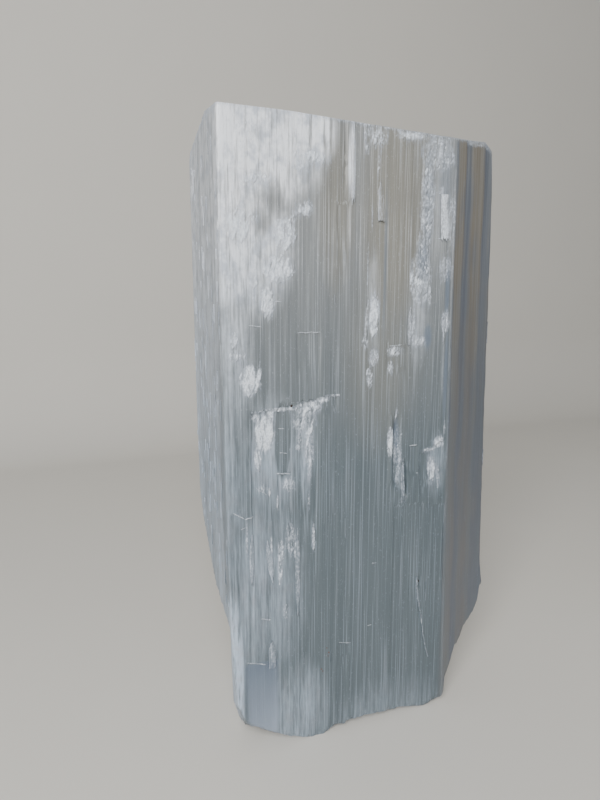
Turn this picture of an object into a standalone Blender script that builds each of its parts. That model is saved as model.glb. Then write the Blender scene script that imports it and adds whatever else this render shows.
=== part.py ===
"""A raw block of fibrous selenite standing on its broken lower end, as one closed solid.

Blender 4.5, metres, +Z up. X runs along the wide front face and Y goes in from it. The block is
worked out in millimetres from its front left edge, then set with its base centred on the origin.
Heights are counted from the tip of the chip at the foot's front left, a little above the ground.
"""

import math
import random

import bmesh
import bpy
from mathutils import Vector

MM = 0.001
SEED = 41

# Driving dimensions, in millimetres
FRONT_WIDTH = 94.2
SIDE_FACET = 35.6
SIDE_FACET_TURN = math.radians(30.0)
LEFT_FACE = 52.5
LEFT_FLARE = 0.3
BACK_RIGHT = (120.0, 55.0)
BACK_MIDDLE = (91.0, 73.0)
BACK_LEFT = (24.0, 75.0)
TOP_HEIGHT = 246.3
ROUGH_LENGTH = 262.0
FOOT_REACH = 2.5

# The block widens a little to the right on its way down, and its left edge draws in at the foot
FOOT_WIDENING = 0.035
FOOT_DRAW_IN = 4.0
FOOT_DRAW_IN_RIGHT = 1.6
FOOT_DRAW_POWER = 4

# Fibre bundles stand out as flat ribs: widths on the worked faces and on the back, and relief
RIB_WIDTH = (2.6, 5.0)
BACK_RIB_WIDTH = (4.0, 8.0)
RIB_RELIEF = 0.6
BACK_RIB_RELIEF = 1.5
RIB_FLANK = 0.5

# Away from the front, some ribs have snapped off part way down and lie deeper from there
SNAPPED_SHARE = 0.45
SNAP_DEPTH = (0.2, 0.8)

# The foot is broken, so its rim draws in over the last few millimetres, least at the front
RIM_DRAW_IN = (0.8, 3.2)
FRONT_RIM_DRAW_IN = (0.1, 0.8)
SHOULDER_DRAW_IN = (0.2, 1.0)
SHOULDER_HEIGHT = 2.0

# Faces are numbered round the plan, counter-clockwise from the front
FRONT = 0
SIDE_FACET_FACE = 1
LEFT = 6
WORKED_FACES = (FRONT, SIDE_FACET_FACE, LEFT)

# Places on the front face where a layer has split off: from x, to x, from z, to z, depth
SPLIT_LAYERS = (
    (5.5, 18.5, 10.0, 36.2, 1.2),
    (11.0, 16.5, 36.2, 55.9, 0.4),
    (9.5, 37.0, 98.5, 140.0, 1.3),
    (20.5, 33.0, 56.5, 98.5, 0.9),
    (1.0, 12.0, 70.0, 98.5, 0.4),
    (27.5, 38.5, 145.0, 168.9, 0.6),
    (46.0, 52.0, 36.8, 56.0, 0.5),
    (43.5, 50.0, 216.6, 236.0, 0.7),
    (59.0, 64.0, 209.9, 225.0, 0.5),
    (76.5, 94.2, 99.0, 115.5, 1.0),
    (63.5, 73.0, 126.5, 161.5, 0.6),
    (87.0, 94.2, 204.2, 221.0, 0.5),
)

# Narrow grooves torn along the fibres of the front face: x, from z, to z, depth
GROOVES = (
    (47.0, 214.0, 262.0, 1.2),
    (70.5, 101.0, 136.0, 2.0),
    (75.5, 98.0, 115.5, 1.4),
)

# Bruised ground with scaly flakes: from x, to x, from z, to z, height of the scales
BRUISES = (
    (1.5, 41.0, 196.0, 246.0, 0.8),
    (12.0, 24.0, 174.0, 196.0, 1.0),
    (3.0, 13.0, 146.0, 170.0, 1.0),
    (9.5, 40.0, 134.0, 144.5, 0.9),
    (56.0, 62.0, 144.0, 186.0, 0.8),
    (76.0, 94.2, 160.0, 246.0, 0.9),
)

SCALE_SPREAD = (-0.3, 1.0)

# Heights of the cross sections. Each ledge has two, so that a layer can step in or out there
LEDGE_SLOPE = 0.5
PLAIN_LEVELS = (
    -1.2, 2.0, 10.0, 22.0, 47.0, 66.0, 80.0, 107.0, 126.0, 133.0,
    152.0, 161.0, 177.0, 186.0, 192.0, 198.5, 210.0, 221.5, 228.0, 236.0,
)
LEDGE_LEVELS = (36.4, 56.5, 98.7, 115.5, 140.2, 144.7, 169.0, 204.5, 216.4)

# Chips and sawn faces, each a plane through three points with the waste on its far side
TOP_SAWN = ((0.0, 0.0, TOP_HEIGHT), (60.0, 0.0, 245.6), (0.0, 40.0, 250.7))
TOP_FRONT_EDGE = ((18.0, 0.0, 246.4), (94.2, 0.0, 242.3), (94.2, 9.0, 245.5))
TOP_LEFT_UPPER = ((0.0, 20.0, 248.4), (0.0, 42.0, 242.4), (11.0, 52.0, 245.5))
TOP_LEFT_LOWER = ((-1.0, 49.0, 241.0), (-1.0, 53.0, 230.0), (6.0, 60.0, 238.0))
TOP_RIGHT_UPPER = ((115.1, 11.4, 246.3), (123.0, 16.0, 243.3), (121.0, 50.0, 249.0))
TOP_RIGHT_LOWER = ((123.0, 16.0, 243.3), (125.6, 17.5, 221.6), (124.5, 48.0, 232.0))
TOP_BACK = ((30.0, 62.0, 255.0), (90.0, 62.0, 254.0), (60.0, 75.5, 236.0))
FOOT_FRONT_LEFT = ((2.4, 0.0, 21.0), (7.2, 0.0, 10.6), (7.2, 9.0, 6.9))
FOOT_FRONT = ((8.0, 0.0, 10.5), (26.5, 0.0, -0.3), (14.0, 8.0, 1.5))
FOOT_BACK = ((20.0, 75.0, 22.0), (92.0, 73.0, 14.0), (60.0, 58.0, -1.0))
CHIPS = (
    TOP_SAWN, TOP_FRONT_EDGE, TOP_LEFT_UPPER, TOP_LEFT_LOWER, TOP_RIGHT_UPPER, TOP_RIGHT_LOWER,
    TOP_BACK, FOOT_FRONT_LEFT, FOOT_FRONT, FOOT_BACK,
)

# The wedge missing from the foot of the left face: its upper edge as y and z, its hinge line at
# the front left edge, how far it turns inwards from there, and how far its cutter reaches outside
WEDGE_EDGE = (
    (-6.0, 50.0), (0.0, 53.5), (25.0, 60.0), (32.5, 67.0), (44.0, 80.0), (52.0, 92.0), (80.0, 130.0),
)
WEDGE_HINGE_X = 0.4
WEDGE_TURN = math.radians(19.0)
WEDGE_OUTSIDE = 25.0
CUTTER_BOTTOM = -10.0

# The corner missing from the foot of the side facet: its stepped edge as distance along the facet
# and z, where the facet's line meets the front, and how far the break rises for each mm inwards
CORNER_EDGE = (
    (3.6, -6.0), (4.0, 8.0), (7.8, 12.3), (13.3, 20.6), (18.4, 22.7), (21.6, 26.6),
    (31.4, 30.2), (36.2, 33.9), (37.6, 40.9), (75.0, 58.0),
)
CORNER_START_X = 95.3
CORNER_RISE = 0.12
CORNER_OUTSIDE = 15.0
CORNER_INSIDE = 80.0

# The hollow broken out under the front between the places it stands on: its edge as x and z along
# the front, and how far the break falls for each mm inwards
HOLLOW_EDGE = (
    (23.0, 1.1), (25.8, 0.3), (32.9, -1.9), (36.0, -2.9), (39.5, -2.9), (41.6, -2.0), (45.9, 0.5),
    (50.2, -0.4), (51.2, 0.7), (60.5, 1.2), (74.9, 0.1), (76.1, 0.7), (83.0, -0.7), (89.9, -2.0),
    (94.3, -0.5), (98.5, 0.2), (106.0, 0.8),
)
HOLLOW_FALL = 0.4
HOLLOW_OUTSIDE = 12.0
HOLLOW_INSIDE = 16.0

WELD_DISTANCE = 0.002


def clear_scene():
    for thing in list(bpy.data.objects):
        bpy.data.objects.remove(thing, do_unlink=True)


def crystal_material():
    """Milky, slightly green grey satin spar."""
    material = bpy.data.materials.new("satin_spar")
    material.use_nodes = True
    shader = material.node_tree.nodes["Principled BSDF"]
    shader.inputs["Base Color"].default_value = (0.42, 0.46, 0.46, 1.0)
    shader.inputs["Roughness"].default_value = 0.42
    shader.inputs["Metallic"].default_value = 0.0
    shader.inputs["IOR"].default_value = 1.52
    return material


def plan_corners():
    """The corners of the cross section at the top, counter-clockwise from the front left edge."""
    front_right = Vector((FRONT_WIDTH, 0.0))
    facet_way = Vector((math.cos(SIDE_FACET_TURN), math.sin(SIDE_FACET_TURN)))
    return [
        Vector((0.0, 0.0)),
        front_right,
        front_right + SIDE_FACET * facet_way,
        Vector(BACK_RIGHT),
        Vector(BACK_MIDDLE),
        Vector(BACK_LEFT),
        Vector((-LEFT_FLARE, LEFT_FACE)),
    ]


def rib_edges(length, widths, rng):
    """Places along a face where one rib ends and the next begins."""
    narrowest, widest = widths
    edges = [0.0]
    while edges[-1] + narrowest + widest < length:
        edges.append(edges[-1] + rng.uniform(*widths))
    edges.append(length)
    return edges


def snap_of(face, rng):
    """The height below which a rib has snapped off, and how much deeper it lies there."""
    if face == FRONT or rng.random() > SNAPPED_SHARE:
        return 0.0, 0.0
    return rng.choice(LEDGE_LEVELS), rng.uniform(*SNAP_DEPTH)


def plan_ribs(rng):
    """Every rib round the block: its face, where it starts and ends, its depth and its snap."""
    corners = plan_corners()
    ribs = []
    for face, start in enumerate(corners):
        length = (corners[(face + 1) % len(corners)] - start).length
        worked = face in WORKED_FACES
        widths = RIB_WIDTH if worked else BACK_RIB_WIDTH
        relief = RIB_RELIEF if worked else BACK_RIB_RELIEF
        edges = rib_edges(length, widths, rng)
        for begin, end in zip(edges, edges[1:]):
            ribs.append((face, begin, end, rng.uniform(0.0, relief), snap_of(face, rng)))
    return ribs


def half_turn(corners, index):
    """Half the angle by which the outline turns at a corner."""
    count = len(corners)
    before = corners[index] - corners[index - 1]
    after = corners[(index + 1) % count] - corners[index]
    return before.angle(after) / 2.0


def front_depth(begin, end, z, rng):
    """How far split layers, grooves and scales move one rib of the front face in at a height."""
    middle = (begin + end) / 2.0
    depth = 0.0
    for x0, x1, z0, z1, step in SPLIT_LAYERS:
        if x0 < middle < x1 and z0 < z < z1:
            depth += step
    for x, z0, z1, step in GROOVES:
        if begin <= x < end and z0 < z < z1:
            depth += step
    for x0, x1, z0, z1, height in BRUISES:
        if x0 < middle < x1 and z0 < z < z1:
            depth += height * max(rng.uniform(*SCALE_SPREAD), 0.0)
    return depth


def foot_depth(face, z, rng):
    """How far the broken rim of the foot draws in on a face at a height."""
    above_ground = z + FOOT_REACH
    if above_ground <= 0.0:
        return rng.uniform(*(FRONT_RIM_DRAW_IN if face == FRONT else RIM_DRAW_IN))
    if above_ground < SHOULDER_HEIGHT and face != FRONT:
        return rng.uniform(*SHOULDER_DRAW_IN)
    return 0.0


def foot_draw(x, down):
    """How far the foot is drawn to the right, most at the left edge; down is 1 at the foot."""
    to_right = min(max(x / FRONT_WIDTH, 0.0), 1.0)
    draw_in = FOOT_DRAW_IN + (FOOT_DRAW_IN_RIGHT - FOOT_DRAW_IN) * to_right
    return draw_in * max(down, 0.0) ** FOOT_DRAW_POWER


def levels():
    """Heights of all cross sections, from the foot to above the sawn top."""
    found = [-FOOT_REACH, ROUGH_LENGTH, *PLAIN_LEVELS]
    for z in LEDGE_LEVELS:
        found += [z - LEDGE_SLOPE / 2.0, z + LEDGE_SLOPE / 2.0]
    return sorted(found)


def section_points(ribs, z, rng):
    """The outline of one cross section: two points for each rib, on the rib's own depth."""
    corners = plan_corners()
    down = 1.0 - z / TOP_HEIGHT
    points = []
    for face, begin, end, own_depth, (snap_height, snap_depth) in ribs:
        start, stop = corners[face], corners[(face + 1) % len(corners)]
        along = (stop - start).normalized()
        inward = Vector((-along.y, along.x))
        depth = own_depth + foot_depth(face, z, rng)
        if face == FRONT:
            depth += front_depth(begin, end, z, rng)
        if z < snap_height:
            depth += snap_depth
        near = begin + RIB_FLANK / 2.0
        far = end - RIB_FLANK / 2.0
        if begin == 0.0:
            near += depth * math.tan(half_turn(corners, face))
        if math.isclose(end, (stop - start).length):
            far -= depth * math.tan(half_turn(corners, (face + 1) % len(corners)))
        for u in (near, far):
            point = start + along * u + inward * depth
            x = point.x * (1.0 + FOOT_WIDENING * down) + foot_draw(point.x, down)
            points.append(Vector((x, point.y, z)))
    return points


def vert_above(vert, face):
    """The corner of an extruded face that an edge joins to a corner of the face it grew from."""
    ends = (edge.other_vert(vert) for edge in vert.link_edges)
    return next(end for end in ends if end in face.verts)


def ribbed_prism(rng):
    """The block before it is chipped: its foot's outline, extruded level by level."""
    ribs = plan_ribs(rng)
    heights = levels()
    bm = bmesh.new()
    ring = [bm.verts.new(p) for p in section_points(ribs, heights[0], rng)]
    top = bm.faces.new(ring)
    for z in heights[1:]:
        below = top
        grown = bmesh.ops.extrude_face_region(bm, geom=[below])
        top = next(g for g in grown["geom"] if isinstance(g, bmesh.types.BMFace))
        if z != heights[1]:
            bmesh.ops.delete(bm, geom=[below], context="FACES_ONLY")
        ring = [vert_above(vert, top) for vert in ring]
        for vert, point in zip(ring, section_points(ribs, z, rng)):
            vert.co = point
    bmesh.ops.recalc_face_normals(bm, faces=bm.faces)
    return bm


def chip_off(bm, points, centre):
    """Cuts along a plane through three points and closes the cut with a flat face."""
    a, b, c = (Vector(p) for p in points)
    normal = (b - a).cross(c - a).normalized()
    if normal.dot(centre - a) > 0.0:
        normal.negate()
    bmesh.ops.triangulate(bm, faces=[f for f in bm.faces if len(f.verts) > 4])
    cut = bmesh.ops.bisect_plane(
        bm, geom=[*bm.verts, *bm.edges, *bm.faces], plane_co=a, plane_no=normal, clear_outer=True
    )
    rim = [g for g in cut["geom_cut"] if isinstance(g, bmesh.types.BMEdge)]
    bmesh.ops.contextual_create(bm, geom=rim)
    bmesh.ops.remove_doubles(bm, verts=bm.verts, dist=WELD_DISTANCE)


def cutter_from(outline, outer_place, inner_place):
    """A closed cutter: an outline's face outside the block, extruded to its place inside."""
    bm = bmesh.new()
    corners = [bm.verts.new(outer_place(u, z)) for u, z in outline]
    grown = bmesh.ops.extrude_face_region(bm, geom=[bm.faces.new(corners)])
    inside = next(g for g in grown["geom"] if isinstance(g, bmesh.types.BMFace))
    for corner, (u, z) in zip(corners, outline):
        vert_above(corner, inside).co = inner_place(u, z)
    bmesh.ops.recalc_face_normals(bm, faces=bm.faces)
    return bm


def missing_wedge():
    """The cutter for the layer that broke off the foot of the left face."""
    front_y, back_y = WEDGE_EDGE[0][0], WEDGE_EDGE[-1][0]
    outline = [*WEDGE_EDGE, (back_y, CUTTER_BOTTOM), (front_y, CUTTER_BOTTOM)]
    return cutter_from(
        outline,
        lambda y, z: Vector((-WEDGE_OUTSIDE, y, z)),
        lambda y, z: Vector((WEDGE_HINGE_X + y * math.tan(WEDGE_TURN), y, z)),
    )


def missing_corner():
    """The cutter for the stepped corner that broke off the foot of the side facet."""
    near_s, far_s = CORNER_EDGE[0][0], CORNER_EDGE[-1][0]
    bottom = CUTTER_BOTTOM - CORNER_RISE * CORNER_INSIDE
    outline = [*CORNER_EDGE, (far_s, bottom), (near_s, bottom)]
    along = Vector((math.cos(SIDE_FACET_TURN), math.sin(SIDE_FACET_TURN), 0.0))
    inward = Vector((-along.y, along.x, 0.0))
    start = Vector((CORNER_START_X, 0.0, 0.0))

    def at_depth(depth):
        return lambda s, z: start + along * s + inward * depth + Vector((0.0, 0.0, z + CORNER_RISE * depth))
    return cutter_from(outline, at_depth(-CORNER_OUTSIDE), at_depth(CORNER_INSIDE))


def front_hollow():
    """The cutter for the hollow under the front."""
    near_x, far_x = HOLLOW_EDGE[0][0], HOLLOW_EDGE[-1][0]
    outline = [*HOLLOW_EDGE, (far_x, CUTTER_BOTTOM), (near_x, CUTTER_BOTTOM)]
    return cutter_from(
        outline,
        lambda x, z: Vector((x, -HOLLOW_OUTSIDE, z + HOLLOW_FALL * HOLLOW_OUTSIDE)),
        lambda x, z: Vector((x, HOLLOW_INSIDE, z - HOLLOW_FALL * HOLLOW_INSIDE)),
    )


def object_from(bm, name):
    """Turns a mesh made in millimetres into an object in metres."""
    bmesh.ops.scale(bm, vec=Vector((MM, MM, MM)), verts=bm.verts)
    mesh = bpy.data.meshes.new(name)
    bm.to_mesh(mesh)
    bm.free()
    thing = bpy.data.objects.new(name, mesh)
    bpy.context.scene.collection.objects.link(thing)
    return thing


def chipped_block(rng):
    """The ribbed prism with its top sawn and its corners chipped."""
    bm = ribbed_prism(rng)
    corners = plan_corners()
    middle = sum(corners, Vector((0.0, 0.0))) / len(corners)
    centre = Vector((middle.x, middle.y, TOP_HEIGHT / 2.0))
    for chip in CHIPS:
        chip_off(bm, chip, centre)
    bmesh.ops.recalc_face_normals(bm, faces=bm.faces)
    return bm


def cut_from(block, cutter):
    """Takes a cutter's volume off the block. The cutter is hidden and moves with the block."""
    cutter.parent = block
    cutter.hide_render = True
    cutter.display_type = "WIRE"
    cut = block.modifiers.new(cutter.name, "BOOLEAN")
    cut.operation = "DIFFERENCE"
    cut.solver = "EXACT"
    cut.object = cutter


def base_centre(block):
    """The middle of the finished block's plan, at the level it stands on."""
    bpy.context.view_layer.update()
    finished = block.evaluated_get(bpy.context.evaluated_depsgraph_get())
    xs = [corner[0] for corner in finished.bound_box]
    ys = [corner[1] for corner in finished.bound_box]
    return Vector(((min(xs) + max(xs)) / 2.0, (min(ys) + max(ys)) / 2.0, -FOOT_REACH * MM))


def crystal_blade():
    """The whole crystal: the chipped block, less what broke off its left and right foot."""
    block = object_from(chipped_block(random.Random(SEED)), "crystal_blade")
    block.data.materials.append(crystal_material())
    cut_from(block, object_from(missing_wedge(), "missing_wedge"))
    cut_from(block, object_from(missing_corner(), "missing_corner"))
    cut_from(block, object_from(front_hollow(), "front_hollow"))
    block.location = -base_centre(block)


def main():
    clear_scene()
    crystal_blade()


main()
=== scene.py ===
import math
import random
from collections import namedtuple
from functools import partial

import bmesh
import bpy
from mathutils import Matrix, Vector, noise


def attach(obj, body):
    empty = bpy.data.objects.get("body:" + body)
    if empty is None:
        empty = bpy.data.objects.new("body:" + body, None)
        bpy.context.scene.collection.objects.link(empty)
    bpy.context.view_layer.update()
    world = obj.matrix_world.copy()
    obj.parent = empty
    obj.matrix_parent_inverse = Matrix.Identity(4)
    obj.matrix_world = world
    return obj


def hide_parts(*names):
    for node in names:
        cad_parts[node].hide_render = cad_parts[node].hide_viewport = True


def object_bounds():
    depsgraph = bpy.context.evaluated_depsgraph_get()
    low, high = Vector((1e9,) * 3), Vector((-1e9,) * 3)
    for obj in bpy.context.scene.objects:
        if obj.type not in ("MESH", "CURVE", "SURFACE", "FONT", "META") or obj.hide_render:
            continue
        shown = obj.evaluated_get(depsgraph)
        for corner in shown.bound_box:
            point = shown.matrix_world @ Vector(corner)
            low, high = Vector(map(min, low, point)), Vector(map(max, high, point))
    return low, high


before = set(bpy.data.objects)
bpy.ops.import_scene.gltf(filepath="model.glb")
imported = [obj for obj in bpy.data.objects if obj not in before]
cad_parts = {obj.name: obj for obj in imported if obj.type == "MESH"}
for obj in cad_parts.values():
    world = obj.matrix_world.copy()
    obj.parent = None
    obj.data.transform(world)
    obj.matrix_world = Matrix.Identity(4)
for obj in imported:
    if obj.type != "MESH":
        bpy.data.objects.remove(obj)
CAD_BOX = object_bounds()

bl_info = {
    "name": "Raw Selenite Block",
    "version": (1, 0, 0),
    "blender": (4, 5, 0),
    "location": "3D View > Sidebar > Selenite",
    "description": "Builds a raw block of satin spar with its bruises and splinters, and a studio",
    "category": "Add Mesh",
}

# Shapes are worked out in millimetres from the block's front left edge: x to the right along the
# wide front face, y in from it and z up from the tip of the chip at the foot's front left, which
# is a little above the ground. The CAD box says where that edge stands in metres.
MM = 0.001
EDGE_INSIDE_BOX = 0.125
FOOT_REACH = 2.5
BLOCK_ORIGIN = Vector((CAD_BOX[0][0] + EDGE_INSIDE_BOX * MM, CAD_BOX[0][1], FOOT_REACH * MM))
SEED = 41

# Carries whole numbers off the borders between cells of noise, where it would flicker
CELL_STEP = 1.618
CELL_OFFSET = Vector((0.31, 0.57, 0.73))

# The crystal's material, and the angle of an edge past which its shading breaks
SPAR = "satin_spar_fibrous_gypsum"
SHARP_ANGLE = math.radians(48.0)

# Kinds of node, and what makes a Mix node mix colours: its type and its colour output
MATH, RANGE, MIX = "ShaderNodeMath", "ShaderNodeMapRange", "ShaderNodeMix"
COLOURS = {"data_type": "RGBA", "output": 2}

# Numbers stored on each vertex, which the material reads by name
SURFACE_MARKS = ("chalk", "frost", "olive", "facet", "brown", "clear")

# The plan, as in the CAD
FRONT_WIDTH = 94.2
SIDE_FACET = 35.6
SIDE_FACET_TURN = math.radians(30.0)
LEFT_FACE = 52.5
LEFT_FLARE = 0.3
BACK_RIGHT = (120.0, 55.0)
BACK_MIDDLE = (91.0, 73.0)
BACK_LEFT = (24.0, 75.0)
PLAN_MIDDLE = (60.0, 36.0)
TOP_HEIGHT = 246.3
FOOT_WIDENING = 0.035
FOOT_DRAW_IN = 4.0
FOOT_DRAW_IN_RIGHT = 1.6
FOOT_DRAW_POWER = 4
FRONT, SIDE, LEFT = 0, 1, 6
FACE_SWELL = 0.35
CORNER_ROUNDING = 1.3

# Noise in layers: its height, its size across the fibres and along them, and which layer it is
FIBRE_WAVES = ((0.16, 23.0, 150.0, 1.0), (0.04, 4.6, 240.0, 2.0), (0.02, 1.5, 160.0, 3.0))
FROST_WAVES = ((0.16, 3.2, 6.0, 17.0), (0.10, 1.2, 3.5, 18.0))
FOOT_RIM_WAVES = ((0.5, 5.0, 1.0, 5.0), (0.4, 1.6, 1.0, 8.0))
BROKEN_WAVES = ((0.8, 7.0, 7.0, 1.0), (0.6, 2.6, 2.6, 2.0), (0.35, 1.1, 1.1, 3.0))
FEATHER_WAVES = ((1.0, 0.9, 4.2, 11.0), (0.55, 0.5, 1.8, 12.0))
CRUST_WAVES = ((1.0, 2.4, 3.4, 13.0), (0.4, 0.7, 1.0, 14.0))
FRAY_WAVES = ((0.50, 1.5, 7.5, 15.0), (0.45, 0.6, 3.6, 16.0))
STEP_WIDTH = 4.7
STEP_HEIGHT = 0.12

# The left face, and the wedge broken from it, lie left of this x, which grows with y
LEFT_SKIN = 4.0
LEFT_SKIN_LEAN = 0.35

# Heights in which painted shade, cool and dark, gives way to warm, and the clear window darkens
SHADE_TO_LIGHT_HEIGHTS = (118.0 * MM, 215.0 * MM)
WINDOW_HEIGHTS = (6.0 * MM, 38.0 * MM)
GYPSUM_IOR = 1.52

# How much of the fibre relief a face shows, for the faces that aren't the front
RELIEF_SHARES = {SIDE: 0.5, LEFT: 0.8}
BACK_RELIEF_SHARE = 2.0

# The sides' mesh rows: close together at the ledges, and drawn on to end at the top and the foot
LEDGE_HEIGHTS = (36.5, 38.2, 56.0, 99.0, 115.4, 121.3, 140.0, 143.6, 169.0, 216.5)
LEDGE_ROW = 0.55
END_BAND = 16.0
FOOT_RIM = 2.5
TOP_RIM = 1.2

# The rings of the foot and of the top, as shares of the way from the plan's middle to the rim
FOOT_SHARES = (0.02, 0.12, 0.26, 0.40, 0.52, 0.62, 0.71, 0.79, 0.86, 0.915, 0.955, 0.983)
TOP_SHARES = (0.985, 0.96, 0.925, 0.88, 0.82, 0.74, 0.64, 0.52, 0.38, 0.22, 0.08, 0.02)

# Sawn and chipped planes over the top and under the foot, each through three points
TOP_PLANES = (
    ((0.0, 0.0, TOP_HEIGHT), (60.0, 0.0, 245.6), (0.0, 40.0, 250.7)),
    ((18.0, 0.0, 246.4), (94.2, 0.0, 242.3), (94.2, 9.0, 245.5)),
    ((0.0, 20.0, 248.4), (0.0, 42.0, 242.4), (11.0, 52.0, 245.5)),
    ((-1.0, 49.0, 241.0), (-1.0, 53.0, 230.0), (6.0, 60.0, 238.0)),
    ((115.1, 11.4, 246.3), (123.0, 16.0, 243.3), (121.0, 50.0, 249.0)),
    ((123.0, 16.0, 243.3), (125.6, 17.5, 221.6), (124.5, 48.0, 232.0)),
    ((30.0, 62.0, 255.0), (90.0, 62.0, 254.0), (60.0, 75.5, 236.0)),
)
FOOT_PLANES = (
    ((2.4, 0.0, 21.0), (7.2, 0.0, 10.6), (7.2, 9.0, 6.9)),
    ((8.0, 0.0, 10.5), (26.5, 0.0, -0.3), (14.0, 8.0, 1.5)),
    ((20.0, 75.0, 22.0), (92.0, 73.0, 14.0), (60.0, 58.0, -1.0)),
)

# The stepped corner missing from the foot of the side facet, as distance along the facet and z
CORNER_EDGE = (
    (3.2, -20.0), (3.6, -6.0), (4.0, 8.0), (7.8, 12.3), (13.3, 20.6), (18.4, 22.7), (21.6, 26.6),
    (31.4, 30.2), (36.2, 33.9), (37.6, 40.9), (75.0, 58.0),
)
CORNER_START_X = 95.3
CORNER_RISE = 0.12

# The hollow broken out under the front between the places it stands on: its edge as x and z along
# the front, and how far the break falls for each mm inwards
HOLLOW_EDGE = (
    (22.4, -20.0), (23.0, 1.1), (25.8, 0.3), (32.9, -1.9), (36.0, -2.9), (39.5, -2.9), (41.6, -2.0),
    (45.9, 0.5), (50.2, -0.4), (51.2, 0.7), (60.5, 1.2), (74.9, 0.1), (76.1, 0.7), (83.0, -0.7),
    (89.9, -2.0), (94.3, -0.5), (98.5, 0.2), (106.0, 0.8),
)
HOLLOW_FALL = 0.4

# The wedge missing from the foot of the left face: its upper edge as y and z, and its turn inwards
WEDGE_EDGE = (
    (-6.0, 50.0), (0.0, 53.5), (25.0, 60.0), (32.5, 67.0), (44.0, 80.0), (52.0, 92.0),
    (80.0, 130.0),
)
WEDGE_HINGE_X = 0.4
WEDGE_TURN = math.radians(19.0)
WEDGE_LEDGE_DROP = 5.0

# Places on the front where a sheet has split off below a ragged edge
Split = namedtuple("Split", "x0 x1 top_left top_right bottom depth feather ragged")
SPLITS = [Split(*row) for row in (
    (9.8, 36.5, 139.6, 143.6, 58.0, 1.0, 70.0, 0.9),
    (36.5, 45.5, 143.9, 144.6, 136.0, 0.5, 6.0, 0.8),
    (27.9, 38.0, 168.9, 169.2, 146.0, 0.35, 18.0, 0.3),
    (6.7, 20.8, 38.4, 35.6, 2.0, 0.28, 26.0, 0.3), (1.0, 11.6, 101.8, 98.6, 66.0, 0.35, 28.0, 0.7),
    (13.0, 17.3, 56.0, 56.0, 40.0, 0.35, 12.0, 0.2),
    (46.0, 53.0, 38.3, 38.6, 26.0, 0.25, 10.0, 0.15),
    (43.8, 49.3, 216.4, 216.6, 188.0, 0.6, 24.0, 0.8),
    (82.8, 94.4, 117.2, 123.0, 98.0, 1.0, 14.0, 0.9),
    (77.4, 81.6, 121.4, 121.2, 108.8, 0.45, 0.8, 0.3),
    (65.6, 75.8, 163.2, 162.6, 148.0, 0.45, 10.0, 0.7),
    (71.0, 99.0, 97.0, 94.0, -9.0, 0.4, 1.0, 1.5),
    (20.6, 26.4, 115.2, 115.6, 92.0, 0.4, 16.0, 0.4),
)]

# Grooves torn along the fibres: x and z of both ends, half width, depth and the lip on the left
Groove = namedtuple("Groove", "x_top z_top x_foot z_foot half_width depth lip")
GROOVES = [Groove(*row) for row in (
    (71.3, 137.5, 72.3, 103.0, 2.1, 2.3, 0.7), (75.5, 116.8, 77.1, 97.5, 1.0, 1.5, 0.4),
    (46.9, 262.0, 47.3, 212.0, 0.6, 0.9, 0.0), (84.8, 61.6, 85.1, 57.2, 0.8, 0.9, 0.1),
    (96.3, 90.0, 97.2, 52.0, 0.6, 0.7, 0.0), (54.2, 262.0, 54.6, 228.0, 0.45, 0.6, 0.1),
)]

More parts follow.
